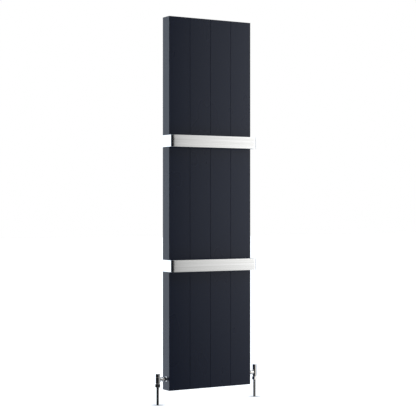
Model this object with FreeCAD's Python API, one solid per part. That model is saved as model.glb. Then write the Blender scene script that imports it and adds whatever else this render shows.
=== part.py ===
"""Vertical flat-front radiator: aluminium sections welded between two headers, hung on four wall brackets,
with two bent towel rails and a pair of angled valves on 15 mm pipes.

Millimetres, +Z up, +X to the right seen from the front, +Y towards the wall.
The origin lies on the wall plane, at the centre of the wall fixings and at half the body's height.
A setback is a distance behind the body's front face."""

import FreeCAD
import Part

import math
import os

Vector = FreeCAD.Vector
X_AXIS = Vector(1, 0, 0)
Y_AXIS = Vector(0, 1, 0)
Z_AXIS = Vector(0, 0, 1)

# Clearances
FIT = 0.1  # radial, between still pieces that screw or slide together
RUNNING = 0.05  # radial, between pieces that turn or slide in use
OVERCUT = 5.0  # how far a cutter runs past the face that it opens

# Body
BODY_HEIGHT = 1800.0
BODY_DEPTH = 65.0
WALL_GAP = 30.0  # wall to the body's back
SECTION_COUNT = 4
SECTION_WIDTH = 114.55
SECTION_GAP = 0.6
EDGE_ROUND = 0.8

# Extruded section
FRONT_PLATE = 2.2
SIDE_WALL = 2.0
REAR_FLANGE_WIDTH = 22.0
RETURN_THICKNESS = 1.6
CHANNEL_SETBACK = 32.5  # waterway axis, which the headers, valves and pipes share
CHANNEL_RADIUS = 13.0
CHANNEL_BORE_RADIUS = 10.0
WEB_THICKNESS = 3.0
FIN_THICKNESS = 1.5
FIN_FIRST = 18.0  # first fin's distance from the section's centre
FIN_LAST = 10.9  # last fin's distance from the section's edge
FINS_PER_SIDE = 3
FIN_STOP = 6.0  # fins end this far in front of the rear plate
REAR_PLATE = 2.0
REAR_PLATE_GAP = 2.9  # rear plate to the side wall's flange, seen from behind
REAR_PLATE_INSET = 5.0  # rear plate's back face to the body's back

# Headers
HEADER_WALL = 2.5
HEADER_INSET = 54.0  # header axis to the body's nearer end
HEADER_CLEARANCE = 2.5  # header to the returns in front of it
END_RELIEF = 4.0  # header to the milled fins
BUSH_THREAD_RADIUS = 10.5  # G 1/2
BUSH_WALL = 3.0
BUSH_FLANGE = 3.0
BUSH_LENGTH = 15.0

# Top grille
GRILLE_THICKNESS = 1.5
GRILLE_INSET = 1.0
GRILLE_EDGE_CLEARANCE = 0.3
GRILLE_END_FLANGE = 14.0
SLOTS_PER_SECTION = 8
SLOT_WIDTH = 7.0
SLOT_MARGIN = 9.0  # slot's end to the grille's front or back edge

# Cross rails, wall brackets and their fixings
WALL_SPACING_X = 240.0
WALL_SPACING_Z = 1200.0
RAIL_SHEET = 2.5
RAIL_WEB_ABOVE = 12.0
RAIL_WEB_BELOW = 28.0
RAIL_END_INSET = 24.0  # cross rail's end to the side wall
RAIL_LIP_DROP = 16.0
RAIL_LIP_TO_WALL = 12.0
RAIL_SCREW_SIDESTEP = 18.0
RAIL_SCREW_DROP = 14.0
BRACKET_SHEET = 3.0
BRACKET_WIDTH = 36.0
BRACKET_HEIGHT = 90.0
BRACKET_ARM_WIDTH = 30.0
BRACKET_ARM_DROP = 14.0  # arm's underside below the cross rail's datum
BRACKET_HOLE_SPACING = 56.0
BRACKET_HOLE_RADIUS = 4.25
HOOK_RISE = 12.0  # cross rail's datum above the bracket's centre
HOOK_TO_RAIL_LIP = 6.5
SADDLE_WALL = 2.0
SADDLE_SKIRT = 8.0
SADDLE_SIDE_CLEARANCE = 1.0

# Screws shared by the cross rails and towel rails
SCREW_RADIUS = 2.4
SCREW_HOLE_RADIUS = 2.75
SCREW_HEAD_RADIUS = 4.75
SCREW_HEAD_HEIGHT = 2.7
SCREW_CROWN_ROUND = 1.6
SCREW_KEY_HALF_FLAT = 1.5
SCREW_KEY_DEPTH = 1.6
SCREW_TAIL = 8.0  # shank beyond the flange that a towel rail's screw grips
SCREW_TO_FIN = 1.0  # a cross rail's screw stops this short of the fins
CLINCH_NUT_RADIUS = 5.0
CLINCH_NUT_HEIGHT = 4.0

# Towel rails
TOWEL_SPACING = 600.0
TOWEL_HEIGHT = 57.0
TOWEL_STRIP = 3.0
TOWEL_REACH = 42.0  # body's front face to the strip's outer face
TOWEL_FRONT_BEND = 8.0  # outer radius
TOWEL_REAR_BEND = 6.0
TOWEL_EDGE_ROUND = 0.6
PAD_SIDE = 6.5
PAD_REAR = 1.5
PAD_HEIGHT = 50.0
PAD_FRONT_SETBACK = 10.0
TOWEL_SCREW_SPACING = 32.0

# Pipes and valve bodies, heights measured from the header axis
PIPE_OFFSET = 45.0  # pipe axis to the body's side face
PIPE_RADIUS = 7.5
PIPE_WALL = 0.7
PIPE_MARK = 1.0  # width of the ring scored round the pipe to show how far it goes in
PIPE_MARK_DEPTH = 0.25
PIPE_MARK_DROP = 1.0  # compression nut to the ring
FLOOR_CLEARANCE = 68.0
BARREL_RADIUS = 11.75
BARREL_TOP = 12.0
BARREL_BOTTOM = -18.0
PIPE_STOP = -16.0
SOCKET_WALL = 2.4
SOCKET_END = -30.0
INLET_RADIUS = 6.0
SEAT_LAND = 1.3  # how far the washer covers the seat
SEAT_LEVEL = -9.0
SEAT_THICKNESS = 2.0
BARREL_WALL = 3.25
BRANCH_BORE_RADIUS = 5.5
BRANCH_RADIUS = 8.6
BRANCH_END = 21.0
COMPRESSION_NUT_WALL = 2.0
COMPRESSION_NUT_TOP = -21.0
COMPRESSION_NUT_LIP = 2.0
OLIVE_HEIGHT = 4.0
OLIVE_WALL = 1.4

# Union nut and tail, distances from the valve axis towards the body
UNION_NUT_CLEARANCE = 0.75  # barrel to the union nut
UNION_NUT_WALL = 2.2
UNION_NUT_LIP = 3.0
TAIL_COLLAR = 3.0
TAIL_WALL = 2.0
TAIL_SHOULDER_RADIUS = 10.2
TAIL_NECK = 1.5  # bare tail between the union nut and the shoulder
TAIL_SEAT = 1.4  # the flange's land on the header bush
WALL_HOLE_CLEARANCE = 0.6
THREAD_LENGTH = 12.0

# Headwork, spindle and plunger
WASHER_THICKNESS = 3.0
WASHER_STEP = 0.5  # washer's edge inside the plunger's
PLUNGER_CLEARANCE = 1.7
PLUNGER_HEIGHT = 8.0
PLUNGER_FLOOR = 1.0
PLUNGER_LIFT = 3.0  # two turns of a 1.5 mm lead
SPINDLE_RADIUS = 3.0
SPINDLE_SCREW_RADIUS = 2.5
SPINDLE_COLLAR_RADIUS = 4.4
SPINDLE_COLLAR = 2.0
STOP_GAP = 0.4
HEADWORK_FLANGE = 1.5
HEADWORK_HEX = 3.0
HEADWORK_HEX_CLEARANCE = 0.7  # hexagon's corners to the head
HEADWORK_NECK_RADIUS = 6.0
HEADWORK_TOP = 22.0
SEAL_RADIUS = 5.0
SEAL_HEIGHT = 2.0
DRIVE_GAP = 1.0
DRIVE_CORNER = 0.03  # square drive's corners inside the spindle

# Heads
HEAD_GAP = 0.6  # barrel's top to the head
HEAD_WALL = 1.25
HANDWHEEL_TOP = 41.0
HANDWHEEL_DRIVE = 10.0
HANDWHEEL_SCREW_RADIUS = 1.25
HANDWHEEL_SCREW_HEAD_RADIUS = 2.4
HANDWHEEL_SCREW_HEAD = 1.8
HANDWHEEL_SCREW_LENGTH = 10.0
HANDWHEEL_KEY_SHARE = 0.9  # key's half flat as a share of the screw's radius
HANDWHEEL_KEY_DEPTH = 0.9
HANDWHEEL_CAP_RIM = 3.25  # head's edge to the cap
HANDWHEEL_CAP = 1.5
LOCKSHIELD_TOP = 29.0
LOCKSHIELD_CROWN = 2.0
LOCKSHIELD_DRIVE = 3.5
HEAD_EDGE_ROUND = 1.0

# Air vent
VENT_SEAT = 2.5  # collar's land on the gasket
VENT_COLLAR = 4.0
VENT_HOLE_CLEARANCE = 1.0
VENT_GASKET = 1.0
BLEED_BORE_RADIUS = 4.0
BLEED_DEPTH = 11.0
BLEED_SEAL = 1.2
BLEED_SEAL_RADIUS = 3.0
BLEED_SCREW_LENGTH = 4.8
BLEED_KEY_SIDE = 5.0
BLEED_PASSAGE_RADIUS = 1.5

# Worked out from the values above
PITCH = SECTION_WIDTH + SECTION_GAP
BODY_WIDTH = SECTION_COUNT * SECTION_WIDTH + (SECTION_COUNT - 1) * SECTION_GAP
HALF_WIDTH = BODY_WIDTH / 2
TOP = BODY_HEIGHT / 2
BOTTOM = -TOP
FRONT = -(WALL_GAP + BODY_DEPTH)
AXIS_Y = FRONT + CHANNEL_SETBACK
HEADER_RADIUS = BUSH_THREAD_RADIUS + BUSH_WALL + HEADER_WALL
RETURN_DEPTH = CHANNEL_SETBACK - HEADER_RADIUS - HEADER_CLEARANCE
REAR_PLATE_BACK = BODY_DEPTH - REAR_PLATE_INSET
REAR_PLATE_HALF = SECTION_WIDTH / 2 - REAR_FLANGE_WIDTH - REAR_PLATE_GAP
FIN_PITCH = (SECTION_WIDTH / 2 - FIN_FIRST - FIN_LAST) / (FINS_PER_SIDE - 1)
RELIEF_LENGTH = HEADER_INSET + HEADER_RADIUS + END_RELIEF
TOP_HEADER_Z = TOP - HEADER_INSET
BOTTOM_HEADER_Z = BOTTOM + HEADER_INSET
BUSH_FACE_X = HALF_WIDTH - SIDE_WALL
HEADER_BORE_RADIUS = BUSH_THREAD_RADIUS + BUSH_WALL
WALL_HOLE_RADIUS = BUSH_THREAD_RADIUS + TAIL_SEAT + WALL_HOLE_CLEARANCE
VENT_COLLAR_RADIUS = BUSH_THREAD_RADIUS + VENT_SEAT
PAD_CORNER_ROUND = TOWEL_REAR_BEND / 4
PAD_CORNER_INSET = PAD_CORNER_ROUND / 2
SOCKET_RADIUS = PIPE_RADIUS + FIT
COMPRESSION_THREAD_RADIUS = SOCKET_RADIUS + SOCKET_WALL
COMPRESSION_CAVITY_BOTTOM = SOCKET_END - OLIVE_HEIGHT - FIT
COMPRESSION_NUT_BOTTOM = COMPRESSION_CAVITY_BOTTOM - COMPRESSION_NUT_LIP
THREAD_RADIUS = BUSH_THREAD_RADIUS - FIT
CHAMBER_RADIUS = BARREL_RADIUS - BARREL_WALL
PLUNGER_RADIUS = CHAMBER_RADIUS - PLUNGER_CLEARANCE
WASHER_RADIUS = PLUNGER_RADIUS - WASHER_STEP
SEAT_RADIUS = WASHER_RADIUS - SEAT_LAND
HEAD_BORE_RADIUS = BARREL_RADIUS - HEAD_WALL
DRIVE_SIDE = math.sqrt(2) * (SPINDLE_RADIUS - DRIVE_CORNER)
PLUNGER_BOTTOM = SEAT_LEVEL + WASHER_THICKNESS
PLUNGER_TOP = PLUNGER_BOTTOM + PLUNGER_HEIGHT
SPINDLE_BOTTOM = PLUNGER_BOTTOM + PLUNGER_FLOOR + PLUNGER_LIFT + STOP_GAP
COLLAR_BOTTOM = PLUNGER_TOP + PLUNGER_LIFT + STOP_GAP
COLLAR_TOP = COLLAR_BOTTOM + SPINDLE_COLLAR
DRIVE_BOTTOM = HEADWORK_TOP + DRIVE_GAP
HEAD_BOTTOM = BARREL_TOP + HEAD_GAP
SECTION_CENTRES = [(i - (SECTION_COUNT - 1) / 2) * PITCH for i in range(SECTION_COUNT)]
BRACKET_PLACES = {
    "upper_left": (-WALL_SPACING_X / 2, WALL_SPACING_Z / 2),
    "upper_right": (WALL_SPACING_X / 2, WALL_SPACING_Z / 2),
    "lower_left": (-WALL_SPACING_X / 2, -WALL_SPACING_Z / 2),
    "lower_right": (WALL_SPACING_X / 2, -WALL_SPACING_Z / 2),
}


def block(x, setback, z):
    """Box between pairs of x, setback and z."""
    size = (x[1] - x[0], setback[1] - setback[0], z[1] - z[0])
    return Part.makeBox(*size, Vector(x[0], FRONT + setback[0], z[0]))


def rod(start, direction, radius, length):
    """Cylinder from start along a unit direction."""
    return Part.makeCylinder(radius, length, start, direction)


def post(radius, z, x=0.0, y=0.0):
    """Upright cylinder between two heights."""
    return rod(Vector(x, y, z[0]), Z_AXIS, radius, z[1] - z[0])


def bar(radius, x, y=0.0, z=0.0):
    """Cylinder along X between two places."""
    return rod(Vector(x[0], y, z), X_AXIS, radius, x[1] - x[0])


def hexagon(half_flat, z):
    """Upright hexagonal prism between two heights."""
    corner = half_flat / math.cos(math.pi / 6)
    angles = [math.pi / 3 * i for i in range(7)]
    points = [Vector(corner * math.cos(a), corner * math.sin(a), z[0]) for a in angles]
    return Part.Face(Part.makePolygon(points)).extrude(Z_AXIS * (z[1] - z[0]))


def square_bar(side, z):
    """Upright square prism between two heights."""
    return Part.makeBox(side, side, z[1] - z[0], Vector(-side / 2, -side / 2, z[0]))


def rounded(solid, radius, chosen):
    """The solid with a fillet on each edge that chosen accepts."""
    return solid.makeFillet(radius, [edge for edge in solid.Edges if chosen(edge)])


def joined(first, *others):
    """One solid from touching solids, with its split faces merged."""
    return first.fuse(list(others)).removeSplitter()


def on_front_face(edge):
    box = edge.BoundBox
    return box.YMax - FRONT < FIT


# Extruded sections


def front_plate(x):
    plate = block(x, (0, FRONT_PLATE), (BOTTOM, TOP))
    return rounded(plate, EDGE_ROUND, on_front_face)


def section_side(edge_x, inward, outer):
    """The section's side at edge_x: the body's full side wall with its rear flange, or a short return."""
    def strip(width, setback):
        return block(sorted((edge_x, edge_x + inward * width)), setback, (BOTTOM, TOP))
    if not outer:
        return [strip(RETURN_THICKNESS, (FRONT_PLATE, RETURN_DEPTH))]
    wall = strip(SIDE_WALL, (FRONT_PLATE, BODY_DEPTH))
    return [wall, strip(REAR_FLANGE_WIDTH, (BODY_DEPTH - SIDE_WALL, BODY_DEPTH))]


def section_core(centre):
    """Water channel with its webs, the rear plate and the fins behind the front plate."""
    height = (BOTTOM, TOP)
    half_web = WEB_THICKNESS / 2
    rear_plate_front = REAR_PLATE_BACK - REAR_PLATE
    web = (centre - half_web, centre + half_web)
    rear_plate = (centre - REAR_PLATE_HALF, centre + REAR_PLATE_HALF)
    pieces = [
        post(CHANNEL_RADIUS, height, centre, AXIS_Y),
        block(web, (FRONT_PLATE, rear_plate_front), height),
        block(rear_plate, (rear_plate_front, REAR_PLATE_BACK), height),
    ]
    for side in (-1, 1):
        for number in range(FINS_PER_SIDE):
            x = centre + side * (FIN_FIRST + number * FIN_PITCH)
            fin = (x - FIN_THICKNESS / 2, x + FIN_THICKNESS / 2)
            pieces.append(block(fin, (FRONT_PLATE, rear_plate_front - FIN_STOP), height))
    return pieces


def end_relief(x, centre, end, header_z):
    """What is milled from a section's end for the header: all behind the plate but the channel's stub."""
    inward = 1 if header_z > end else -1
    pocket = block(x, (FRONT_PLATE, BODY_DEPTH + OVERCUT),
                   sorted((end - inward * OVERCUT, end + inward * RELIEF_LENGTH)))
    stub = post(CHANNEL_RADIUS, sorted((header_z, end + inward * (RELIEF_LENGTH + OVERCUT))),
                centre, AXIS_Y)
    return pocket.cut(stub)


def section(number):
    centre = SECTION_CENTRES[number]
    left, right = centre - SECTION_WIDTH / 2, centre + SECTION_WIDTH / 2
    is_left, is_right = number == 0, number == SECTION_COUNT - 1
    solid = joined(front_plate((left, right)), *section_side(left, 1, is_left),
                   *section_side(right, -1, is_right), *section_core(centre))
    clear = (left + (SIDE_WALL if is_left else RETURN_THICKNESS),
             right - (SIDE_WALL if is_right else RETURN_THICKNESS))
    cutters = [
        post(CHANNEL_BORE_RADIUS, (BOTTOM - OVERCUT, TOP + OVERCUT), centre, AXIS_Y),
        end_relief(clear, centre, BOTTOM, BOTTOM_HEADER_Z),
        end_relief(clear, centre, TOP, TOP_HEADER_Z),
        grille_rebate(left + SIDE_WALL * is_left, right - SIDE_WALL * is_right),
    ]
    channel = (centre - CHANNEL_RADIUS - FIT, centre + CHANNEL_RADIUS + FIT)
    cutters += [bar(HEADER_RADIUS, channel, AXIS_Y, z) for z in (BOTTOM_HEADER_Z, TOP_HEADER_Z)]
    if is_left:
        cutters.append(wall_hole(-1, WALL_HOLE_RADIUS, BOTTOM_HEADER_Z))
        cutters += towel_screw_holes(-1)
    if is_right:
        cutters.append(wall_hole(1, WALL_HOLE_RADIUS, BOTTOM_HEADER_Z))
        cutters.append(wall_hole(1, VENT_COLLAR_RADIUS + VENT_HOLE_CLEARANCE, TOP_HEADER_Z))
        cutters += towel_screw_holes(1)
    cutters += [shank(SCREW_HOLE_RADIUS, x, z, REAR_PLATE_BACK + OVERCUT, REAR_PLATE + 2 * OVERCUT)
                for x, z in rail_screw_places([centre])]
    return solid.cut(cutters)


def grille_rebate(left, right):
    drop = GRILLE_INSET + GRILLE_THICKNESS + GRILLE_EDGE_CLEARANCE
    return block((left, right), (FRONT_PLATE, BODY_DEPTH + OVERCUT), (TOP - drop, TOP + OVERCUT))


def wall_hole(side, radius, z):
    start = side * (HALF_WIDTH - SIDE_WALL - OVERCUT)
    return rod(Vector(start, AXIS_Y, z), X_AXIS * side, radius, SIDE_WALL + 2 * OVERCUT)


# Headers


def header(z, channel_direction):
    """Header tube with a port into each section's water channel."""
    end = BUSH_FACE_X - BUSH_FLANGE
    tube = bar(HEADER_RADIUS, (-end, end), AXIS_Y, z)
    bores = [bar(HEADER_BORE_RADIUS, (-end - OVERCUT, end + OVERCUT), AXIS_Y, z)]
    for centre in SECTION_CENTRES:
        port = Vector(centre, AXIS_Y, z)
        bores.append(rod(port, Z_AXIS * channel_direction, CHANNEL_BORE_RADIUS, HEADER_RADIUS + OVERCUT))
    return tube.cut(bores)


def header_plug(side, z):
    """Flanged plug welded into a header's end."""
    face = Vector(side * BUSH_FACE_X, AXIS_Y, z)
    flange = rod(face, X_AXIS * -side, HEADER_RADIUS, BUSH_FLANGE)
    return joined(flange, rod(face, X_AXIS * -side, HEADER_BORE_RADIUS, BUSH_LENGTH))


def header_bush(side, z):
    """Header plug with the G 1/2 thread, drawn as a plain bore."""
    start = Vector(side * (BUSH_FACE_X + OVERCUT), AXIS_Y, z)
    return header_plug(side, z).cut(
        rod(start, X_AXIS * -side, BUSH_THREAD_RADIUS, BUSH_LENGTH + 2 * OVERCUT))


# Top grille


def top_grille():
    half = HALF_WIDTH - SIDE_WALL - GRILLE_EDGE_CLEARANCE
    front = FRONT_PLATE + GRILLE_EDGE_CLEARANCE
    level = (TOP - GRILLE_INSET - GRILLE_THICKNESS, TOP - GRILLE_INSET)
    plate = block((-half, half), (front, BODY_DEPTH), level)
    flanges = []
    for side in (-1, 1):
        ends = sorted((side * half, side * (half - GRILLE_THICKNESS)))
        flanges.append(block(ends, (front, BODY_DEPTH), (level[1] - GRILLE_END_FLANGE, level[1])))
    slots = []
    slot_pitch = SECTION_WIDTH / SLOTS_PER_SECTION
    for centre in SECTION_CENTRES:
        for number in range(SLOTS_PER_SECTION):
            x = centre + (number - (SLOTS_PER_SECTION - 1) / 2) * slot_pitch
            slot = block((x - SLOT_WIDTH / 2, x + SLOT_WIDTH / 2),
                         (front + SLOT_MARGIN, BODY_DEPTH - SLOT_MARGIN),
                         (level[0] - OVERCUT, level[1] + OVERCUT))
            slots.append(rounded(slot, SLOT_WIDTH / 2 - FIT, is_upright))
    return joined(plate, *flanges).cut(slots)


def is_upright(edge):
    box = edge.BoundBox
    return box.ZLength > FIT and box.XLength < FIT and box.YLength < FIT


# Cross rails and wall brackets


def rail_datum(z_sign):
    """Height at the cross rail's middle, which its bracket hooks under."""
    return z_sign * WALL_SPACING_Z / 2 + HOOK_RISE


def cross_rail(z_sign):
    """Z-shaped rail screwed to the rear plates, with a downturned lip that hangs over the brackets."""
    z = rail_datum(z_sign)
    half = HALF_WIDTH - SIDE_WALL - RAIL_END_INSET
    length = (-half, half)
    web_back = REAR_PLATE_BACK + RAIL_SHEET
    lip_back = WALL_GAP + BODY_DEPTH - RAIL_LIP_TO_WALL
    top = z + RAIL_WEB_ABOVE
    rail = joined(
        block(length, (REAR_PLATE_BACK, web_back), (z - RAIL_WEB_BELOW, top)),
        block(length, (REAR_PLATE_BACK, lip_back), (top - RAIL_SHEET, top)),
        block(length, (lip_back - RAIL_SHEET, lip_back), (top - RAIL_LIP_DROP, top)),
    )
    places = rail_screw_places(SECTION_CENTRES, (z_sign,))
    return rail.cut([shank(SCREW_HOLE_RADIUS, x, level, web_back + OVERCUT, RAIL_SHEET + 2 * OVERCUT)
                     for x, level in places])


def rail_screw_places(centres, z_signs=(-1, 1)):
    return [(centre + side * RAIL_SCREW_SIDESTEP, rail_datum(z_sign) - RAIL_SCREW_DROP)
            for centre in centres for side in (-1, 1) for z_sign in z_signs]


def shank(radius, x, z, back_setback, length):
    """Cylinder that runs forwards from a setback."""
    return rod(Vector(x, FRONT + back_setback, z), Y_AXIS * -1, radius, length)


def screw(x, z, seat_setback, length):
    """Button-head screw with its head on the seat, drawn upright and then laid along Y."""
    head = rounded(post(SCREW_HEAD_RADIUS, (0, SCREW_HEAD_HEIGHT)), SCREW_CROWN_ROUND,
                   lambda edge: edge.BoundBox.ZMin > SCREW_HEAD_HEIGHT - FIT)
    key = hexagon(SCREW_KEY_HALF_FLAT, (SCREW_HEAD_HEIGHT - SCREW_KEY_DEPTH, SCREW_HEAD_HEIGHT + OVERCUT))
    solid = joined(head, post(SCREW_RADIUS, (-length, 0))).cut(key)
    solid.rotate(Vector(0, 0, 0), X_AXIS, -90)
    solid.translate(Vector(x, FRONT + seat_setback, z))
    return solid


def cross_rail_screws():
    seat = REAR_PLATE_BACK + RAIL_SHEET
    length = RAIL_SHEET + REAR_PLATE + FIN_STOP - SCREW_TO_FIN
    return [screw(x, z, seat, length) for x, z in rail_screw_places(SECTION_CENTRES)]


def hook_setbacks():
    """Front and back of the bracket's upturned lip, which stands in front of the cross rail's lip."""
    back = WALL_GAP + BODY_DEPTH - RAIL_LIP_TO_WALL - RAIL_SHEET - HOOK_TO_RAIL_LIP
    return back - BRACKET_SHEET, back


def hook_top(z):
    return z + HOOK_RISE + RAIL_WEB_ABOVE - RAIL_SHEET - SADDLE_WALL


def wall_bracket(x, z):
    """Wall plate with two holes, and an arm on a gusset that ends in the upturned lip."""
    wall = WALL_GAP + BODY_DEPTH
    plate_front = wall - BRACKET_SHEET
    lip_front, lip_back = hook_setbacks()
    arm_bottom = z + HOOK_RISE - BRACKET_ARM_DROP
    arm_top = arm_bottom + BRACKET_SHEET
    arm = (x - BRACKET_ARM_WIDTH / 2, x + BRACKET_ARM_WIDTH / 2)
    plate = block((x - BRACKET_WIDTH / 2, x + BRACKET_WIDTH / 2), (plate_front, wall),
                  (z - BRACKET_HEIGHT / 2, z + BRACKET_HEIGHT / 2))
    plate = rounded(plate, BRACKET_SHEET, lambda edge: edge.BoundBox.YLength > FIT)
    foot = arm_bottom - (plate_front - lip_back)
    corners = [(lip_back, arm_bottom), (plate_front, arm_bottom), (plate_front, foot),
               (lip_back, arm_bottom)]
    gusset = Part.Face(Part.makePolygon(
        [Vector(x - BRACKET_SHEET / 2, FRONT + setback, height) for setback, height in corners]))
    bracket = joined(
        plate,
        block(arm, (lip_front, plate_front), (arm_bottom, arm_top)),
        block(arm, (lip_front, lip_back), (arm_bottom, hook_top(z))),
        gusset.extrude(X_AXIS * BRACKET_SHEET),
    )
    holes = [shank(BRACKET_HOLE_RADIUS, x, z + sign * BRACKET_HOLE_SPACING / 2, wall + OVERCUT,
                   BRACKET_SHEET + 2 * OVERCUT) for sign in (-1, 1)]
    return bracket.cut(holes)


def bracket_saddle(x, z):
    """Plastic cap over the bracket's lip, which the cross rail rests on."""
    lip_front, lip_back = hook_setbacks()
    top = hook_top(z)
    inner = BRACKET_ARM_WIDTH / 2
    outer = inner + SADDLE_SIDE_CLEARANCE
    cap = block((x - outer, x + outer), (lip_front - SADDLE_WALL, lip_back + SADDLE_WALL),
                (top - SADDLE_SKIRT, top + SADDLE_WALL))
    slot = block((x - inner, x + inner), (lip_front, lip_back), (top - SADDLE_SKIRT - OVERCUT, top))
    return cap.cut(slot)


# Towel rails


def towel_loop(inset):
    """Solid rounded rectangle round the body, inset from the towel strip's outer face."""
    half = HALF_WIDTH + PAD_SIDE + TOWEL_STRIP - inset
    back = BODY_DEPTH + PAD_REAR + TOWEL_STRIP - inset
    loop = block((-half, half), (inset - TOWEL_REACH, back), (-TOWEL_HEIGHT / 2, TOWEL_HEIGHT / 2))
    middle = FRONT + BODY_DEPTH / 2
    loop = rounded(loop, TOWEL_FRONT_BEND - inset,
                   lambda edge: is_upright(edge) and edge.BoundBox.YMax < middle)
    return rounded(loop, TOWEL_REAR_BEND - inset,
                   lambda edge: is_upright(edge) and edge.BoundBox.YMin > middle)


def towel_rail(z):
    """Strip bent round the body's front and sides, with two rear lips screwed to the side walls."""
    ring = towel_loop(0).cut(towel_loop(TOWEL_STRIP))
    lip_end = HALF_WIDTH - REAR_FLANGE_WIDTH
    opening = block((-lip_end, lip_end), (BODY_DEPTH, BODY_DEPTH + PAD_REAR + TOWEL_STRIP + OVERCUT),
                    (-TOWEL_HEIGHT, TOWEL_HEIGHT))
    strip = ring.cut(opening)
    long_edge = HALF_WIDTH
    strip = rounded(strip, TOWEL_EDGE_ROUND, lambda edge: edge.BoundBox.XLength > long_edge)
    strip.translate(Vector(0, 0, z))
    holes = [hole for side in (-1, 1) for hole in towel_screw_holes(side, (z,))]
    return strip.cut(holes)


def towel_heights():
    return TOWEL_SPACING / 2, -TOWEL_SPACING / 2


def towel_screw_places(side, heights):
    x = side * (HALF_WIDTH - REAR_FLANGE_WIDTH / 2)
    return [(x, z + sign * TOWEL_SCREW_SPACING / 2) for z in heights for sign in (-1, 1)]


def towel_screw_holes(side, heights=None):
    """Drills through the rear lip, pad and flange."""
    seat = BODY_DEPTH + PAD_REAR + TOWEL_STRIP
    length = seat - BODY_DEPTH + SIDE_WALL + 2 * OVERCUT
    return [shank(SCREW_HOLE_RADIUS, x, z, seat + OVERCUT, length)
            for x, z in towel_screw_places(side, heights or towel_heights())]


def rail_pads(z):
    """Rubber angles between a towel rail and the body's rear corners."""
    pads = []
    level = (z - PAD_HEIGHT / 2, z + PAD_HEIGHT / 2)
    for side in (-1, 1):
        face = side * HALF_WIDTH
        beside = block(sorted((face, face + side * PAD_SIDE)), (PAD_FRONT_SETBACK, BODY_DEPTH), level)
        behind = block(sorted((face - side * REAR_FLANGE_WIDTH, face)),
                       (BODY_DEPTH, BODY_DEPTH + PAD_REAR), level)
        corner = block(sorted((face, face + side * (PAD_SIDE - PAD_CORNER_ROUND))),
                       (BODY_DEPTH, BODY_DEPTH + PAD_REAR - PAD_CORNER_INSET), level)
        beside = rounded(beside, PAD_CORNER_ROUND, lambda edge: is_upright(edge)
                         and abs(edge.BoundBox.XMax - face) > PAD_SIDE / 2
                         and edge.BoundBox.YMin > FRONT + BODY_DEPTH - FIT)
        pads.append(joined(beside, behind, corner).cut(towel_screw_holes(side, (z,))))
    return pads


def towel_screws():
    seat = BODY_DEPTH + PAD_REAR + TOWEL_STRIP
    length = seat - BODY_DEPTH + SIDE_WALL + SCREW_TAIL
    return [screw(x, z, seat, length)
            for side in (-1, 1) for x, z in towel_screw_places(side, towel_heights())]


def clinch_nuts():
    """Nuts pressed onto the front of the side walls' rear flanges."""
    back = BODY_DEPTH - SIDE_WALL
    nuts = []
    for side in (-1, 1):
        for x, z in towel_screw_places(side, towel_heights()):
            bore = shank(SCREW_RADIUS + FIT, x, z, back + OVERCUT, CLINCH_NUT_HEIGHT + 2 * OVERCUT)
            nuts.append(shank(CLINCH_NUT_RADIUS, x, z, back, CLINCH_NUT_HEIGHT).cut(bore))
    return nuts


# Valves, drawn about the upright pipe axis with +X towards the body and the header axis at z = 0


def valve_body():
    """Barrel with a pipe socket below, a side branch to the union and the plunger's seat inside."""
    outside = joined(
        rounded(post(BARREL_RADIUS, (BARREL_BOTTOM, BARREL_TOP)), HEAD_GAP,
                lambda edge: edge.BoundBox.ZLength < FIT),
        post(COMPRESSION_THREAD_RADIUS, (SOCKET_END, BARREL_BOTTOM + HEAD_GAP)),
        bar(BRANCH_RADIUS, (0, BRANCH_END)),
    )
    return outside.cut([
        post(SOCKET_RADIUS, (SOCKET_END - OVERCUT, PIPE_STOP)),
        post(INLET_RADIUS, (PIPE_STOP - OVERCUT, SEAT_LEVEL - SEAT_THICKNESS)),
        post(SEAT_RADIUS, (PIPE_STOP, SEAT_LEVEL + OVERCUT)),
        post(CHAMBER_RADIUS, (SEAT_LEVEL, BARREL_TOP + OVERCUT)),
        bar(BRANCH_BORE_RADIUS, (0, BRANCH_END + OVERCUT)),
    ])


def compression_nut():
    thread = COMPRESSION_THREAD_RADIUS + FIT
    height = (COMPRESSION_NUT_BOTTOM, COMPRESSION_NUT_TOP)
    nut = hexagon(thread + COMPRESSION_NUT_WALL, height)
    corner = (thread + COMPRESSION_NUT_WALL) / math.cos(math.pi / 6)
    turned = rounded(post(corner - FIT, height), COMPRESSION_NUT_WALL / 2,
                     lambda edge: edge.BoundBox.ZLength < FIT)
    return nut.common(turned).cut([
        post(thread, (COMPRESSION_CAVITY_BOTTOM, COMPRESSION_NUT_TOP + OVERCUT)),
        post(SOCKET_RADIUS, (COMPRESSION_NUT_BOTTOM - OVERCUT, COMPRESSION_CAVITY_BOTTOM + OVERCUT)),
    ])


def olive():
    """Compression ring that seals the pipe under the valve body."""
    ring = rounded(post(PIPE_RADIUS + OLIVE_WALL, (SOCKET_END - OLIVE_HEIGHT, SOCKET_END)),
                   OLIVE_WALL / 2, lambda edge: edge.BoundBox.ZLength < FIT)
    return ring.cut(post(PIPE_RADIUS, (SOCKET_END - OLIVE_HEIGHT - OVERCUT, SOCKET_END + OVERCUT)))


def pipe():
    """Pipe from the floor to its stop in the socket, with the scored ring under the compression nut."""
    floor = -(HEADER_INSET + FLOOR_CLEARANCE)
    mark_top = COMPRESSION_NUT_BOTTOM - PIPE_MARK_DROP
    mark = (mark_top - PIPE_MARK, mark_top)
    outside = joined(post(PIPE_RADIUS, (floor, mark[0])), post(PIPE_RADIUS - PIPE_MARK_DEPTH, mark),
                     post(PIPE_RADIUS, (mark_top, PIPE_STOP)))
    return outside.cut(post(PIPE_RADIUS - PIPE_WALL, (floor - OVERCUT, PIPE_STOP + OVERCUT)))


def union_nut_end():
    return BRANCH_END + TAIL_COLLAR + UNION_NUT_LIP


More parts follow.
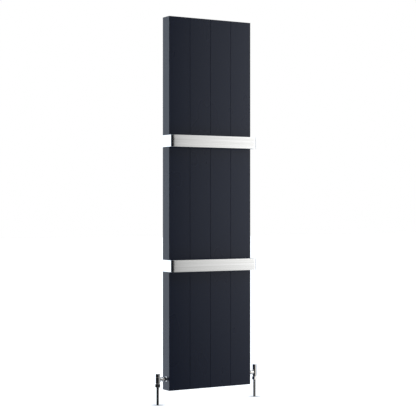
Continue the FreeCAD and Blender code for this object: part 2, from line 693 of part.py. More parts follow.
def union_nut():
    """Nut that draws the tail's collar against the branch."""
    thread = BRANCH_RADIUS + FIT
    end = union_nut_end()
    start = BARREL_RADIUS + UNION_NUT_CLEARANCE
    outside = rounded(bar(thread + UNION_NUT_WALL, (start, end)), UNION_NUT_WALL / 2,
                      lambda edge: edge.BoundBox.XLength < FIT)
    barrel = post(BARREL_RADIUS + HEAD_GAP, (BARREL_BOTTOM - OVERCUT, BARREL_TOP + OVERCUT))
    return outside.cut([
        bar(thread, (0, BRANCH_END + TAIL_COLLAR)),
        bar(BRANCH_BORE_RADIUS + TAIL_WALL + FIT, (0, end + OVERCUT)),
        barrel,
    ])


def valve_tail():
    """Hollow tail: collar under the union nut, shoulder, flange on the header bush, thread into it."""
    tube = BRANCH_BORE_RADIUS + TAIL_WALL
    bush = PIPE_OFFSET + SIDE_WALL
    shoulder = rounded(bar(TAIL_SHOULDER_RADIUS, (union_nut_end() + TAIL_NECK, bush)), TAIL_NECK / 2,
                       lambda edge: edge.BoundBox.XMax < bush - FIT)
    outside = joined(
        bar(BRANCH_RADIUS, (BRANCH_END, BRANCH_END + TAIL_COLLAR)),
        bar(tube, (BRANCH_END, bush)),
        shoulder,
        bar(WALL_HOLE_RADIUS - WALL_HOLE_CLEARANCE, (PIPE_OFFSET, bush)),
        bar(THREAD_RADIUS, (bush, bush + THREAD_LENGTH)),
    )
    return outside.cut(bar(BRANCH_BORE_RADIUS, (BRANCH_END - OVERCUT, bush + THREAD_LENGTH + OVERCUT)))


def headwork():
    """Bonnet screwed into the barrel, which carries the spindle and centres the head."""
    flange_top = BARREL_TOP + HEADWORK_FLANGE
    hex_corner = HEAD_BORE_RADIUS - HEADWORK_HEX_CLEARANCE
    outside = joined(
        post(CHAMBER_RADIUS - FIT, (COLLAR_BOTTOM + HEAD_GAP, BARREL_TOP)),
        post(HEAD_BORE_RADIUS - RUNNING, (BARREL_TOP, flange_top)),
        hexagon(hex_corner * math.cos(math.pi / 6), (flange_top, flange_top + HEADWORK_HEX)),
        post(HEADWORK_NECK_RADIUS, (flange_top, HEADWORK_TOP)),
    )
    return outside.cut([
        post(SPINDLE_RADIUS + RUNNING, (COLLAR_BOTTOM, HEADWORK_TOP + OVERCUT)),
        post(SPINDLE_COLLAR_RADIUS + STOP_GAP, (COLLAR_BOTTOM - OVERCUT, COLLAR_TOP + FIT)),
        post(SEAL_RADIUS, (HEADWORK_TOP - SEAL_HEIGHT, HEADWORK_TOP + OVERCUT)),
    ])


def spindle_seal():
    level = (HEADWORK_TOP - SEAL_HEIGHT, HEADWORK_TOP)
    return post(SEAL_RADIUS, level).cut(
        post(SPINDLE_RADIUS + RUNNING, (level[0] - OVERCUT, level[1] + OVERCUT)))


def spindle(drive_length):
    """Spindle with the screw that lifts the plunger, a collar under the headwork and a square drive."""
    return joined(
        post(SPINDLE_SCREW_RADIUS, (SPINDLE_BOTTOM, COLLAR_BOTTOM)),
        post(SPINDLE_COLLAR_RADIUS, (COLLAR_BOTTOM, COLLAR_TOP)),
        post(SPINDLE_RADIUS, (COLLAR_TOP, DRIVE_BOTTOM)),
        square_bar(DRIVE_SIDE, (DRIVE_BOTTOM, DRIVE_BOTTOM + drive_length)),
    )


def handwheel_spindle():
    """Spindle drilled for the handwheel's screw."""
    top = DRIVE_BOTTOM + HANDWHEEL_DRIVE
    drill = (handwheel_screw_seat() - HANDWHEEL_SCREW_LENGTH, top + OVERCUT)
    return spindle(HANDWHEEL_DRIVE).cut(post(HANDWHEEL_SCREW_RADIUS, drill))


def plunger():
    """Plunger that the spindle's screw lifts off the seat."""
    nut = post(SPINDLE_SCREW_RADIUS + RUNNING, (PLUNGER_BOTTOM + PLUNGER_FLOOR, PLUNGER_TOP + OVERCUT))
    return post(PLUNGER_RADIUS, (PLUNGER_BOTTOM, PLUNGER_TOP)).cut(nut)


def plunger_washer():
    return post(WASHER_RADIUS, (SEAT_LEVEL, PLUNGER_BOTTOM))


def handwheel_screw_seat():
    return HANDWHEEL_TOP - HANDWHEEL_CAP - HANDWHEEL_SCREW_HEAD - FIT


def handwheel():
    """Hollow grip with a hub on the spindle's square and a recess in its top for the screw and cap."""
    outside = rounded(post(BARREL_RADIUS, (HEAD_BOTTOM, HANDWHEEL_TOP)), HEAD_EDGE_ROUND,
                      lambda edge: edge.BoundBox.ZMin > HANDWHEEL_TOP - FIT)
    seat = handwheel_screw_seat()
    return outside.cut([
        post(HEAD_BORE_RADIUS, (HEAD_BOTTOM - OVERCUT, DRIVE_BOTTOM)),
        square_bar(DRIVE_SIDE + 2 * RUNNING, (DRIVE_BOTTOM - OVERCUT, DRIVE_BOTTOM + HANDWHEEL_DRIVE)),
        post(HANDWHEEL_SCREW_RADIUS + FIT, (DRIVE_BOTTOM, seat + OVERCUT)),
        post(BARREL_RADIUS - HANDWHEEL_CAP_RIM + FIT, (seat, HANDWHEEL_TOP + OVERCUT)),
    ])


def handwheel_screw():
    seat = handwheel_screw_seat()
    head = post(HANDWHEEL_SCREW_HEAD_RADIUS, (seat, seat + HANDWHEEL_SCREW_HEAD))
    body = joined(head, post(HANDWHEEL_SCREW_RADIUS, (seat - HANDWHEEL_SCREW_LENGTH, seat)))
    key = hexagon(HANDWHEEL_SCREW_RADIUS * HANDWHEEL_KEY_SHARE,
                  (seat + HANDWHEEL_SCREW_HEAD - HANDWHEEL_KEY_DEPTH, seat + OVERCUT))
    return body.cut(key)


def handwheel_cap():
    """Trim disc over the handwheel's screw."""
    return post(BARREL_RADIUS - HANDWHEEL_CAP_RIM, (HANDWHEEL_TOP - HANDWHEEL_CAP, HANDWHEEL_TOP))


def lockshield_cap():
    """Plain cap that pulls off the lockshield."""
    outside = rounded(post(BARREL_RADIUS, (HEAD_BOTTOM, LOCKSHIELD_TOP)), HEAD_EDGE_ROUND,
                      lambda edge: edge.BoundBox.ZMin > LOCKSHIELD_TOP - FIT)
    return outside.cut(post(HEAD_BORE_RADIUS, (HEAD_BOTTOM - OVERCUT, LOCKSHIELD_TOP - LOCKSHIELD_CROWN)))


def placed(shape, side):
    """A valve piece moved from its own axes to the body's left (-1) or right (1) side."""
    moved = shape.copy()
    if side > 0:
        moved.rotate(Vector(0, 0, 0), Z_AXIS, 180)
    moved.translate(Vector(side * (HALF_WIDTH + PIPE_OFFSET), AXIS_Y, BOTTOM_HEADER_Z))
    return moved


# Air vent, on the top header's right end


def vent_plug():
    face = BUSH_FACE_X + VENT_GASKET
    end = face + VENT_COLLAR
    outside = joined(
        rounded(bar(VENT_COLLAR_RADIUS, (face, end)), EDGE_ROUND,
                lambda edge: edge.BoundBox.XMin > end - FIT),
        bar(THREAD_RADIUS, (face - THREAD_LENGTH, face)),
    )
    plug = outside.cut([
        bar(BLEED_BORE_RADIUS, (bleed_seat(), end + OVERCUT)),
        bar(BLEED_PASSAGE_RADIUS, (face - THREAD_LENGTH - OVERCUT, end)),
    ])
    plug.translate(Vector(0, AXIS_Y, TOP_HEADER_Z))
    return plug


def vent_gasket():
    start, end = BUSH_FACE_X, BUSH_FACE_X + VENT_GASKET
    hole = bar(BUSH_THREAD_RADIUS, (start - OVERCUT, end + OVERCUT), AXIS_Y, TOP_HEADER_Z)
    return bar(VENT_COLLAR_RADIUS, (start, end), AXIS_Y, TOP_HEADER_Z).cut(hole)


def bleed_seat():
    """Place of the bottom of the vent plug's bore."""
    return BUSH_FACE_X + VENT_GASKET + VENT_COLLAR - BLEED_DEPTH


def bleed_seal():
    """Disc that the bleed screw presses onto the passage."""
    seat = bleed_seat()
    return bar(BLEED_SEAL_RADIUS, (seat, seat + BLEED_SEAL), AXIS_Y, TOP_HEADER_Z)


def bleed_screw():
    """Screw with a square end for the vent key, which ends flush with the vent plug."""
    start = bleed_seat() + BLEED_SEAL
    shoulder = start + BLEED_SCREW_LENGTH
    half = BLEED_KEY_SIDE / 2
    key = Part.makeBox(bleed_seat() + BLEED_DEPTH - shoulder, BLEED_KEY_SIDE, BLEED_KEY_SIDE,
                       Vector(shoulder, -half, -half))
    solid = joined(bar(BLEED_BORE_RADIUS - RUNNING, (start, shoulder)), key)
    solid.translate(Vector(0, AXIS_Y, TOP_HEADER_Z))
    return solid


def all_nodes():
    """Every node's name with its shape."""
    nodes = {f"section_{number + 1}": section(number) for number in range(SECTION_COUNT)}
    nodes["header_top"] = header(TOP_HEADER_Z, -1)
    nodes["header_bottom"] = header(BOTTOM_HEADER_Z, 1)
    nodes["header_end_cap"] = header_plug(-1, TOP_HEADER_Z)
    nodes["header_bush_top_right"] = header_bush(1, TOP_HEADER_Z)
    nodes["header_bush_bottom_left"] = header_bush(-1, BOTTOM_HEADER_Z)
    nodes["header_bush_bottom_right"] = header_bush(1, BOTTOM_HEADER_Z)
    nodes["top_grille"] = top_grille()
    nodes["cross_rail_upper"] = cross_rail(1)
    nodes["cross_rail_lower"] = cross_rail(-1)
    nodes["cross_rail_screws"] = Part.makeCompound(cross_rail_screws())
    for name, (x, z) in BRACKET_PLACES.items():
        nodes[f"wall_bracket_{name}"] = wall_bracket(x, z)
        nodes[f"bracket_saddle_{name}"] = bracket_saddle(x, z)
    for name, z in zip(("upper", "lower"), towel_heights()):
        nodes[f"towel_rail_{name}"] = towel_rail(z)
        nodes[f"rail_pads_{name}"] = Part.makeCompound(rail_pads(z))
    nodes["towel_rail_screws"] = Part.makeCompound(towel_screws())
    nodes["clinch_nuts"] = Part.makeCompound(clinch_nuts())
    for name, side in (("left", -1), ("right", 1)):
        for kind, make in (("valve_body", valve_body), ("compression_nut", compression_nut),
                           ("olive", olive), ("pipe", pipe), ("union_nut", union_nut),
                           ("valve_tail", valve_tail), ("headwork", headwork),
                           ("spindle_seal", spindle_seal), ("plunger", plunger),
                           ("plunger_washer", plunger_washer)):
            nodes[f"{kind}_{name}"] = placed(make(), side)
    nodes["spindle_left"] = placed(spindle(LOCKSHIELD_DRIVE), -1)
    nodes["lockshield_cap"] = placed(lockshield_cap(), -1)
    nodes["spindle_right"] = placed(handwheel_spindle(), 1)
    nodes["handwheel"] = placed(handwheel(), 1)
    nodes["handwheel_screw"] = placed(handwheel_screw(), 1)
    nodes["handwheel_cap"] = placed(handwheel_cap(), 1)
    nodes["vent_plug"] = vent_plug()
    nodes["vent_gasket"] = vent_gasket()
    nodes["bleed_seal"] = bleed_seal()
    nodes["bleed_screw"] = bleed_screw()
    return nodes


def main():
    os.makedirs("parts", exist_ok=True)
    for name, shape in all_nodes().items():
        solids = shape.Solids
        if not solids or not all(solid.isValid() for solid in solids):
            raise RuntimeError(f"{name} has a faulty solid")
        shape.exportStep(f"parts/{name}.step")
        print(f"{name}: {len(solids)} solid(s), {shape.Volume / 1000:.2f} cm3")


main()
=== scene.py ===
"""Looks of the vertical radiator: the finish of every part, bent towel rails, weld beads and the studio.

Metres, +Z up, +X to the right seen from the front, +Y towards the wall."""

import math

import bmesh
import bpy
import numpy as np
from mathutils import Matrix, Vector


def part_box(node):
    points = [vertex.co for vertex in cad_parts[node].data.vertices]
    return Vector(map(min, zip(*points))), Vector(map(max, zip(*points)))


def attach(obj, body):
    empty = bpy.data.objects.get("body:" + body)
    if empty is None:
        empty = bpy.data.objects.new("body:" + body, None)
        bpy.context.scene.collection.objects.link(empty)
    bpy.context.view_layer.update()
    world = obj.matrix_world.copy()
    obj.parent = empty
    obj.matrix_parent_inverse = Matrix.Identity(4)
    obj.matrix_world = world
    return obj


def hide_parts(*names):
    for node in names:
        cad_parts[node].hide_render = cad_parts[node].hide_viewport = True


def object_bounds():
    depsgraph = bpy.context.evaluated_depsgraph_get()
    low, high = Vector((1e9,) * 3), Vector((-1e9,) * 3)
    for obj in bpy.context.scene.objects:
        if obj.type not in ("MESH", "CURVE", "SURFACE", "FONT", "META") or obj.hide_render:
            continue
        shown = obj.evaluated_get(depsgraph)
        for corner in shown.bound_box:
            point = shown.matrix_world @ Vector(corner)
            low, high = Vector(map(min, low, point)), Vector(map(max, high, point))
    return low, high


MM = 0.001

# Towel rails
STRIP = 3.0 * MM
STRIP_EDGE = 0.6 * MM  # radius of the strip's long edges
FRONT_BEND = 8.0 * MM
REAR_BEND = 6.0 * MM
REAR_LIP = 28.0 * MM

# Welds between the water channels and the headers
CHANNEL = 13.0 * MM  # outer radius
HEADER = 16.0 * MM  # outer radius
BEAD = 1.9 * MM  # radius of the bead
BEAD_RIPPLE = 2.6 * MM  # from one ripple to the next
BEAD_SWELL = 0.14  # how much a ripple adds to the bead's radius, as a share

# Camera and studio
CAMERA_PLACE = (-3.078, -5.325, -0.022)
CAMERA_YAW = math.radians(-30.36)
CAMERA_LENS = 107.4
CAMERA_RANGE = 200.0
FLOOR_SIZE = 60.0
FLOOR_GLOW = 0.75
# Emission of the floor right at a pipe's foot, dimmed there to paint a contact shadow.
PAINTED_SHADOW_GLOW = 0.1
PAINTED_SHADOW_REACH = (8 * MM, 54 * MM)  # distance from a pipe's foot over which the painted contact shadow on the floor fades out
SOFTBOX_LEFT, SOFTBOX_RIGHT = 0.238, 1.15
SOFTBOX_BOTTOM, SOFTBOX_TOP = -1.4, 1.25
SOFTBOX_Y = -1.0
SOFTBOX_RADIANCE = 1.2
SOFTBOX_ACROSS = (0.52, 1.08)  # share of the radiance at the left end and where the hot strip starts
SOFTBOX_FOOT = 0.42  # share of the radiance at the bottom
SOFTBOX_FULL = -0.1  # height from which the radiance is whole
HOT_STRIP = (0.35, 0.2)  # distances from the right end between which the hot strip comes on
HOT_STRIP_GAIN = 2.0

# Light from the surroundings. Each ramp is a pair of direction cosines, along +Y, +X, +X and up or down.
BACKDROP = 1.95
BACKDROP_RAMP = (-0.02, 0.2)
LEFT_MASK = (-0.66, -0.54)
FRONT_ROOM = 0.02
RIGHT_ROOM = 0.2
RIGHT_RAMP = (0.62, 0.9)
OVERHEAD = 1.0
OVERHEAD_RAMP = (0.55, 0.75)


# Colours and nodes


def srgb(code):
    """Linear colour of an sRGB hex code."""
    parts = np.array([int(code[i:i + 2], 16) for i in (1, 3, 5)]) / 255
    linear = np.where(parts <= 0.04045, parts / 12.92, ((parts + 0.055) / 1.055) ** 2.4)
    return (*linear.tolist(), 1.0)


def add(tree, kind, settings=None, links=None):
    """Adds a node; a setting is an input's name or number, or else a property of the node."""
    made = tree.nodes.new("ShaderNode" + kind)
    for name, value in (settings or {}).items():
        if isinstance(name, int) or name in made.inputs:
            made.inputs[name].default_value = value
        else:
            setattr(made, name, value)
    for name, source in (links or {}).items():
        tree.links.new(source, made.inputs[name])
    return made


def finish(name, settings):
    """A new material with its Principled shader set; gives the material, its node tree and the shader."""
    material = bpy.data.materials.new(name)
    material.use_nodes = True
    tree = material.node_tree
    tree.nodes.clear()
    shader = add(tree, "BsdfPrincipled", settings)
    output = add(tree, "OutputMaterial")
    tree.links.new(shader.outputs["BSDF"], output.inputs["Surface"])
    return material, tree, shader


def stretched(tree, sizes):
    """Object coordinates measured in grains, where sizes are one grain's length along X, Y and Z."""
    place = add(tree, "TexCoord")
    scale = tuple(1 / size for size in sizes)
    return add(tree, "Mapping", {"Scale": scale}, {"Vector": place.outputs["Object"]}).outputs["Vector"]


def grain(tree, sizes, detail=2.0, roughness=0.5, distortion=0.0):
    """Noise with grains of the given sizes."""
    settings = {"Scale": 1.0, "Detail": detail, "Roughness": roughness, "Distortion": distortion}
    return add(tree, "TexNoise", settings, {"Vector": stretched(tree, sizes)}).outputs["Fac"]


def ramp(tree, value, span, low=0.0, high=1.0, smooth=False):
    """The value over a span from its first to its second number, mapped to low to high."""
    settings = {"From Min": span[0], "From Max": span[1], "To Min": low, "To Max": high}
    if smooth:
        settings["interpolation_type"] = "SMOOTHSTEP"
    return add(tree, "MapRange", settings, {"Value": value}).outputs["Result"]


def combined(tree, operation, first, second):
    """Two values put through a math operation."""
    return add(tree, "Math", {"operation": operation}, {0: first, 1: second}).outputs[0]


def between(tree, factor, low, high):
    """The factor 0.3 to 0.7, where noise mostly lies, mapped to low to high."""
    return ramp(tree, factor, (0.3, 0.7), low, high)


def tinted(tree, factor, dark, light):
    """A colour between two hex codes."""
    blend = add(tree, "Mix", {"data_type": "RGBA"})
    blend.inputs[6].default_value = srgb(dark)
    blend.inputs[7].default_value = srgb(light)
    tree.links.new(between(tree, factor, 0.0, 1.0), blend.inputs[0])
    return blend.outputs[2]


def relief(tree, shader, height, depth, strength=1.0):
    """Bump whose height from 0 to 1 stands for depth in metres."""
    bump = add(tree, "Bump", {"Distance": depth, "Strength": strength}, {"Height": height})
    tree.links.new(bump.outputs["Normal"], shader.inputs["Normal"])


# Finishes


def anthracite_powder_coat():
    """Sprayed and baked polyester powder: an even blue-grey with a satin sheen, broken by faint orange peel."""
    material, tree, shader = finish("anthracite_powder_coat", {"IOR": 1.35})
    cloud = grain(tree, (180 * MM, 180 * MM, 320 * MM))
    tree.links.new(tinted(tree, cloud, "#141f35", "#152036"), shader.inputs["Base Color"])
    tree.links.new(between(tree, cloud, 0.27, 0.29), shader.inputs["Roughness"])
    peel = grain(tree, (1.6 * MM, 1.6 * MM, 1.6 * MM), detail=3.0)
    relief(tree, shader, peel, 0.05 * MM, 0.5)
    return material


def lengthwise_brushed_stainless():
    """Stainless strip drawn over an abrasive belt: bright metal that smears reflections across its lines."""
    material, tree, shader = finish("lengthwise_brushed_stainless", {"Metallic": 1.0})
    lines = grain(tree, (240 * MM, 240 * MM, 0.5 * MM), detail=3.0, roughness=0.6)
    # The real lines are 0.1 mm apart; these broad ones, 4 mm apart, are as coarse as they need to be to show.
    broad = grain(tree, (500 * MM, 500 * MM, 4 * MM), detail=1.0)
    tree.links.new(tinted(tree, broad, "#dcdcda", "#e9e9e8"), shader.inputs["Base Color"])
    tree.links.new(between(tree, lines, 0.09, 0.14), shader.inputs["Roughness"])
    relief(tree, shader, lines, 0.02 * MM, 0.35)
    return material


def bright_chrome_plate():
    """Decorative chrome over polished brass: a near mirror, hardly tinted, with faint polishing waves."""
    material, tree, shader = finish("bright_chrome_plate", {"Metallic": 1.0, "Base Color": srgb("#e9e6e2")})
    waves = grain(tree, (9 * MM, 9 * MM, 9 * MM), detail=1.0)
    tree.links.new(between(tree, waves, 0.04, 0.08), shader.inputs["Roughness"])
    relief(tree, shader, waves, 0.02 * MM, 0.4)
    return material


def chromed_copper_tube():
    """Plated drawn tube: chrome with long soft draw lines."""
    material, tree, shader = finish("chromed_copper_tube", {"Metallic": 1.0, "Base Color": srgb("#e6e3df")})
    drawn = grain(tree, (1.2 * MM, 1.2 * MM, 90 * MM), detail=2.0)
    tree.links.new(between(tree, drawn, 0.05, 0.11), shader.inputs["Roughness"])
    relief(tree, shader, drawn, 0.02 * MM, 0.4)
    return material


def bright_zinc_plate():
    """Electroplated zinc over pressed steel: pale grey metal, faintly blue, clouded, duller than chrome."""
    material, tree, shader = finish("bright_zinc_plate", {"Metallic": 1.0})
    cloud = grain(tree, (26 * MM, 26 * MM, 26 * MM), detail=4.0, distortion=0.6)
    tree.links.new(tinted(tree, cloud, "#a9adb2", "#c6c9cb"), shader.inputs["Base Color"])
    tree.links.new(between(tree, cloud, 0.28, 0.42), shader.inputs["Roughness"])
    relief(tree, shader, grain(tree, (0.9 * MM, 0.9 * MM, 0.9 * MM)), 0.03 * MM, 0.4)
    return material


def headed_stainless():
    """Cold-headed screws: a soft even gloss with the die's fine marks."""
    material, tree, shader = finish("headed_stainless", {"Metallic": 1.0, "Base Color": srgb("#c9c8c5")})
    marks = grain(tree, (0.7 * MM, 0.7 * MM, 0.7 * MM), detail=3.0)
    tree.links.new(between(tree, marks, 0.22, 0.36), shader.inputs["Roughness"])
    relief(tree, shader, marks, 0.02 * MM, 0.5)
    return material


def turned_brass():
    """Brass straight from the lathe: warm metal with fine turning rings stacked upwards."""
    material, tree, shader = finish("turned_brass", {"Metallic": 1.0})
    cloud = grain(tree, (6 * MM, 6 * MM, 6 * MM))
    tree.links.new(tinted(tree, cloud, "#b48a3c", "#cda356"), shader.inputs["Base Color"])
    rings = grain(tree, (30 * MM, 30 * MM, 0.35 * MM), detail=2.0)
    tree.links.new(between(tree, rings, 0.2, 0.36), shader.inputs["Roughness"])
    relief(tree, shader, rings, 0.03 * MM, 0.6)
    return material


def moulded_rubber():
    """Moulded rubber: near black, matt, with a powdery bloom."""
    material, tree, shader = finish("moulded_rubber", {"IOR": 1.52})
    bloom = grain(tree, (5 * MM, 5 * MM, 5 * MM), detail=4.0)
    tree.links.new(tinted(tree, bloom, "#17181a", "#222326"), shader.inputs["Base Color"])
    tree.links.new(between(tree, bloom, 0.62, 0.8), shader.inputs["Roughness"])
    relief(tree, shader, grain(tree, (0.5 * MM, 0.5 * MM, 0.5 * MM)), 0.05 * MM, 0.6)
    return material


def moulded_nylon():
    """Spark-eroded mould finish in black nylon: dark, with a fine even grain that keeps its shine low."""
    material, tree, shader = finish("moulded_nylon", {"IOR": 1.53, "Base Color": srgb("#1b1c1f")})
    erosion = grain(tree, (0.6 * MM, 0.6 * MM, 0.6 * MM), detail=2.0)
    tree.links.new(between(tree, erosion, 0.42, 0.56), shader.inputs["Roughness"])
    relief(tree, shader, erosion, 0.04 * MM, 0.6)
    return material


FINISHES = {
    "powder_coat": anthracite_powder_coat(),
    "rail_steel": lengthwise_brushed_stainless(),
    "zinc_steel": bright_zinc_plate(),
    "screw_steel": headed_stainless(),
    "chrome": bright_chrome_plate(),
    "copper_pipe": chromed_copper_tube(),
    "brass": turned_brass(),
    "saddle_nylon": moulded_nylon(),
    "rubber": moulded_rubber(),
}


# Surfaces


def grid_faces(rows, columns, closed_rows=False, closed_columns=True):
    """Quads between neighbours on a grid whose rows or columns may wrap round."""
    row = np.arange(rows if closed_rows else rows - 1)
    column = np.arange(columns if closed_columns else columns - 1)
    row, column = (part.ravel() for part in np.meshgrid(row, column, indexing="ij"))
    below, beside = (row + 1) % rows, (column + 1) % columns
    return np.stack([row * columns + column, below * columns + column,
                     below * columns + beside, row * columns + beside], axis=1)


def piece(name, parts, slot, body):
    """One object from (points, faces) parts, with the finish of its slot and the body it rides on."""
    points, faces, start = [], [], 0
    for part_points, part_faces in parts:
        points.append(part_points.reshape(-1, 3))
        faces += [tuple(int(i) + start for i in face) for face in part_faces]
        start += len(points[-1])
    mesh = bpy.data.meshes.new(name)
    mesh.from_pydata(np.concatenate(points).tolist(), [], faces)
    mesh.polygons.foreach_set("use_smooth", np.ones(len(faces), bool))
    mesh.set_sharp_from_angle(angle=math.radians(35))
    mesh.materials.append(FINISHES[slot])
    made = bpy.data.objects.new(name, mesh)
    bpy.context.scene.collection.objects.link(made)
    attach(made, body)
    return made


def arc(centre, radius, start, turn, steps):
    """Points on a circle in plan, from one angle through a turn."""
    angle = start + turn * np.linspace(0, 1, steps)
    return centre + radius * np.stack([np.cos(angle), np.sin(angle)], axis=1)


def rail_route(half, front, back):
    """Middle line of a towel rail in plan, from the left rear lip round the front to the right one, with its
    outward directions. Straight runs join quarter turns, and the right half mirrors the left."""
    front_turn = FRONT_BEND - STRIP / 2
    rear_turn = REAR_BEND - STRIP / 2
    quarter = math.pi / 2
    side = -half + STRIP / 2
    rear = np.array([side + rear_turn, back - STRIP / 2 - rear_turn])
    corner = np.array([side + front_turn, front + STRIP / 2 + front_turn])
    lip = np.array([[-half + REAR_LIP, back - STRIP / 2]])
    side_run = corner - rear + (rear_turn - front_turn, 0)
    left = np.concatenate([
        lip + (rear + (0, rear_turn) - lip) * np.linspace(0, 1, 6)[:-1, None],
        arc(rear, rear_turn, quarter, quarter, 13),
        rear + (-rear_turn, 0) + side_run * np.linspace(0, 1, 12)[1:-1, None],
        arc(corner, front_turn, math.pi, quarter, 17),
        np.stack([np.linspace(corner[0], 0, 26)[1:], np.full(25, front + STRIP / 2)], axis=1),
    ])
    route = np.concatenate([left, left[-2::-1] * (-1, 1)])
    along = np.gradient(route, axis=0)
    along /= np.linalg.norm(along, axis=1)[:, None]
    return route, np.stack([along[:, 1], -along[:, 0]], axis=1)


def strip_outline(height):
    """Rounded rectangle across the strip: how far each point lies outwards and upwards of the middle line."""
    corners = []
    for number, (across, up) in enumerate(((1, 1), (-1, 1), (-1, -1), (1, -1))):
        centre = np.array([across * (STRIP / 2 - STRIP_EDGE), up * (height / 2 - STRIP_EDGE)])
        corners.append(arc(centre, STRIP_EDGE, number * math.pi / 2, math.pi / 2, 6))
    return np.concatenate(corners)


def towel_rail(name):
    """Strip bent round the radiator: the strip's outline carried along the route, closed at both lips.
    A point is route + outwards * across, raised by up."""
    low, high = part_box(name)
    route, outwards = rail_route(high.x, low.y, high.y)
    outline = strip_outline(high.z - low.z)
    points = np.empty((len(route), len(outline), 3))
    points[:, :, :2] = route[:, None] + outwards[:, None] * outline[None, :, :1]
    points[:, :, 2] = (low.z + high.z) / 2 + outline[None, :, 1]
    faces = [tuple(face) for face in grid_faces(len(route), len(outline))]
    first = tuple(range(len(outline)))
    last = tuple(reversed([(len(route) - 1) * len(outline) + i for i in first]))
    made = piece(name + "_strip", [(points, faces + [first, last])], "rail_steel", "radiator")
    facing_out(made)
    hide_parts(name)


def facing_out(made):
    """Turns a closed mesh's normals outwards."""
    shell = bmesh.new()
    shell.from_mesh(made.data)
    bmesh.ops.recalc_face_normals(shell, faces=shell.faces)
    shell.to_mesh(made.data)
    shell.free()


def weld_ring(centre, direction):
    """Fillet weld where an upright channel meets a header: a rippled bead carried along the line where the
    two cylinders cross. At angle a, with channel radius c and header radius h, that line is
    (c cos a, c sin a, the root of h squared less (c sin a) squared)."""
    around = np.linspace(0, 2 * math.pi, 120, endpoint=False)
    across = np.linspace(0, 2 * math.pi, 10, endpoint=False)
    x, y = CHANNEL * np.cos(around), CHANNEL * np.sin(around)
    line = np.stack([x, y, direction * np.sqrt(HEADER ** 2 - y ** 2)], axis=1)
    along = np.roll(line, -1, axis=0) - np.roll(line, 1, axis=0)
    along /= np.linalg.norm(along, axis=1)[:, None]
    outward = np.stack([np.cos(around), np.sin(around), np.zeros_like(around)], axis=1)
    outward -= along * np.sum(outward * along, axis=1)[:, None]
    outward /= np.linalg.norm(outward, axis=1)[:, None]
    upward = np.cross(along, outward)
    length = np.linalg.norm(np.diff(line, axis=0, append=line[:1]), axis=1).sum()
    ripples = round(length / BEAD_RIPPLE)
    size = BEAD * (1 + BEAD_SWELL * np.sin(ripples * around))
    points = (line[:, None] + size[:, None, None] * (np.cos(across)[None, :, None] * outward[:, None]
              + np.sin(across)[None, :, None] * upward[:, None]))
    return points + np.array(centre), grid_faces(len(around), len(across), closed_rows=True)


def weld_beads(name, header, direction, channels):
    """The welds of one header, a ring for each channel."""
    low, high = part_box(header)
    rings = [weld_ring((x, (low.y + high.y) / 2, (low.z + high.z) / 2), direction) for x in channels]
    facing_out(piece(name, rings, "powder_coat", "radiator"))


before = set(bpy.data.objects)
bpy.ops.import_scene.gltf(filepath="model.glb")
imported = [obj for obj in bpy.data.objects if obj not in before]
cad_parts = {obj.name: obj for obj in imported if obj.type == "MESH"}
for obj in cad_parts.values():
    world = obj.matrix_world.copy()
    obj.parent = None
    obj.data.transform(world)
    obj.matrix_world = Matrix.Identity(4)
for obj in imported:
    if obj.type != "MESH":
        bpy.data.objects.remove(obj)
cad_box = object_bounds()

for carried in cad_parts.values():
    carried.data.materials[0] = FINISHES[carried.data.materials[0].name]

for rail in ("towel_rail_upper", "towel_rail_lower"):
    towel_rail(rail)

section_boxes = [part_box(f"section_{number}") for number in range(1, 5)]
channels = [(low.x + high.x) / 2 for low, high in section_boxes]
weld_beads("header_welds_top", "header_top", -1, channels)
weld_beads("header_welds_bottom", "header_bottom", 1, channels)


# Studio


def camera():
    """Level camera in front, to the left."""
    data = bpy.data.cameras.new("camera")
    data.lens = CAMERA_LENS
    data.clip_end = CAMERA_RANGE
    made = bpy.data.objects.new("camera", data)
    made.location = CAMERA_PLACE
    made.rotation_euler = (math.pi / 2, 0, CAMERA_YAW)
    bpy.context.scene.collection.objects.link(made)
    bpy.context.scene.camera = made


def floor():
    """White studio floor under the pipes, with a painted contact shadow: its emission dims close to each pipe's
    foot.
    """
    low = cad_box[0].z
    half = FLOOR_SIZE / 2
    mesh = bpy.data.meshes.new("studio_floor")
    mesh.from_pydata([(-half, -half, low), (half, -half, low), (half, half, low), (-half, half, low)], [],
                     [(0, 1, 2, 3)])
    white, grey = srgb("#ffffff"), srgb("#bcbcbc")
    settings = {"Base Color": grey, "Roughness": 0.9, "Emission Color": white}
    material, tree, shader = finish("studio_floor", settings)
    place = add(tree, "TexCoord").outputs["Object"]
    painted_shadow_distances = []
    for pipe in ("pipe_left", "pipe_right"):
        start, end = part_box(pipe)
        foot = ((start.x + end.x) / 2, (start.y + end.y) / 2, low)
        painted_shadow_distances.append(add(tree, "VectorMath", {"operation": "DISTANCE", 1: foot}, {0: place}).outputs["Value"])
    # Emission dims near the pipes' feet: a painted contact shadow, on top of the evenly bright floor.
    glow_and_painted_shadow = ramp(tree, combined(tree, "MINIMUM", *painted_shadow_distances), PAINTED_SHADOW_REACH, PAINTED_SHADOW_GLOW, FLOOR_GLOW)
    tree.links.new(glow_and_painted_shadow, shader.inputs["Emission Strength"])
    mesh.materials.append(material)
    made = bpy.data.objects.new("studio_floor", mesh)
    made.visible_glossy = False
    made.visible_diffuse = False
    bpy.context.scene.collection.objects.link(made)


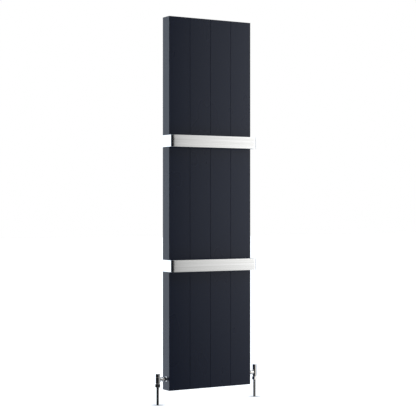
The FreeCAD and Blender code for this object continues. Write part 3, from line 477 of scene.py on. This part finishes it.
def softbox():
    """Tall softbox close on the right in front. Its light grows towards its right end, with a hot strip there,
    and fades towards the floor. It shows in reflections, but not to the camera."""
    data = bpy.data.lights.new("softbox", "AREA")
    data.shape = "RECTANGLE"
    data.size = SOFTBOX_RIGHT - SOFTBOX_LEFT
    data.size_y = SOFTBOX_TOP - SOFTBOX_BOTTOM
    data.energy = SOFTBOX_RADIANCE * data.size * data.size_y * math.pi
    data.use_nodes = True
    tree = data.node_tree
    tree.nodes.clear()
    place = add(tree, "SeparateXYZ", links={"Vector": add(tree, "NewGeometry").outputs["Position"]})
    strip_on, strip_full = (SOFTBOX_RIGHT - distance for distance in HOT_STRIP)
    across = ramp(tree, place.outputs["X"], (SOFTBOX_LEFT, strip_on), *SOFTBOX_ACROSS)
    strip = ramp(tree, place.outputs["X"], (strip_on, strip_full), 1.0, HOT_STRIP_GAIN)
    upward = ramp(tree, place.outputs["Z"], (SOFTBOX_BOTTOM, SOFTBOX_FULL), SOFTBOX_FOOT, 1.0)
    share = combined(tree, "MULTIPLY", combined(tree, "MULTIPLY", across, strip), upward)
    emission = add(tree, "Emission", {"Color": srgb("#ffffff")}, {"Strength": share})
    output = add(tree, "OutputLight")
    tree.links.new(emission.outputs[0], output.inputs["Surface"])
    made = bpy.data.objects.new("softbox", data)
    made.location = ((SOFTBOX_LEFT + SOFTBOX_RIGHT) / 2, SOFTBOX_Y, (SOFTBOX_TOP + SOFTBOX_BOTTOM) / 2)
    made.rotation_euler = (math.pi / 2, 0, 0)
    made.visible_camera = False
    bpy.context.scene.collection.objects.link(made)


def surroundings():
    """White to the eye. To the object it is white behind, above and below, and dark level with it in front and
    on the left. A grey room lies on the right."""
    world = bpy.data.worlds.new("surroundings")
    world.use_nodes = True
    tree = world.node_tree
    tree.nodes.clear()
    place = add(tree, "SeparateXYZ", links={"Vector": add(tree, "TexCoord").outputs["Generated"]})
    behind = ramp(tree, place.outputs["Y"], BACKDROP_RAMP, high=BACKDROP, smooth=True)
    unmasked = ramp(tree, place.outputs["X"], LEFT_MASK, smooth=True)
    backdrop = combined(tree, "MULTIPLY", behind, unmasked)
    right = ramp(tree, place.outputs["X"], RIGHT_RAMP, FRONT_ROOM, RIGHT_ROOM, smooth=True)
    steep = add(tree, "Math", {"operation": "ABSOLUTE"}, {0: place.outputs["Z"]}).outputs[0]
    overhead = ramp(tree, steep, OVERHEAD_RAMP, high=OVERHEAD, smooth=True)
    lit = combined(tree, "MAXIMUM", combined(tree, "MAXIMUM", backdrop, right), overhead)
    room = add(tree, "Background", {"Color": srgb("#e6f1ff")}, {"Strength": lit})
    seen = add(tree, "Background", {"Color": srgb("#ffffff"), "Strength": 1.0})
    ray = add(tree, "LightPath").outputs["Is Camera Ray"]
    mixed = add(tree, "MixShader", links={0: ray, 1: room.outputs[0], 2: seen.outputs[0]})
    output = add(tree, "OutputWorld")
    tree.links.new(mixed.outputs[0], output.inputs["Surface"])
    bpy.context.scene.world = world


camera()
floor()
surroundings()
softbox()
bpy.context.scene.view_settings.view_transform = "Standard"
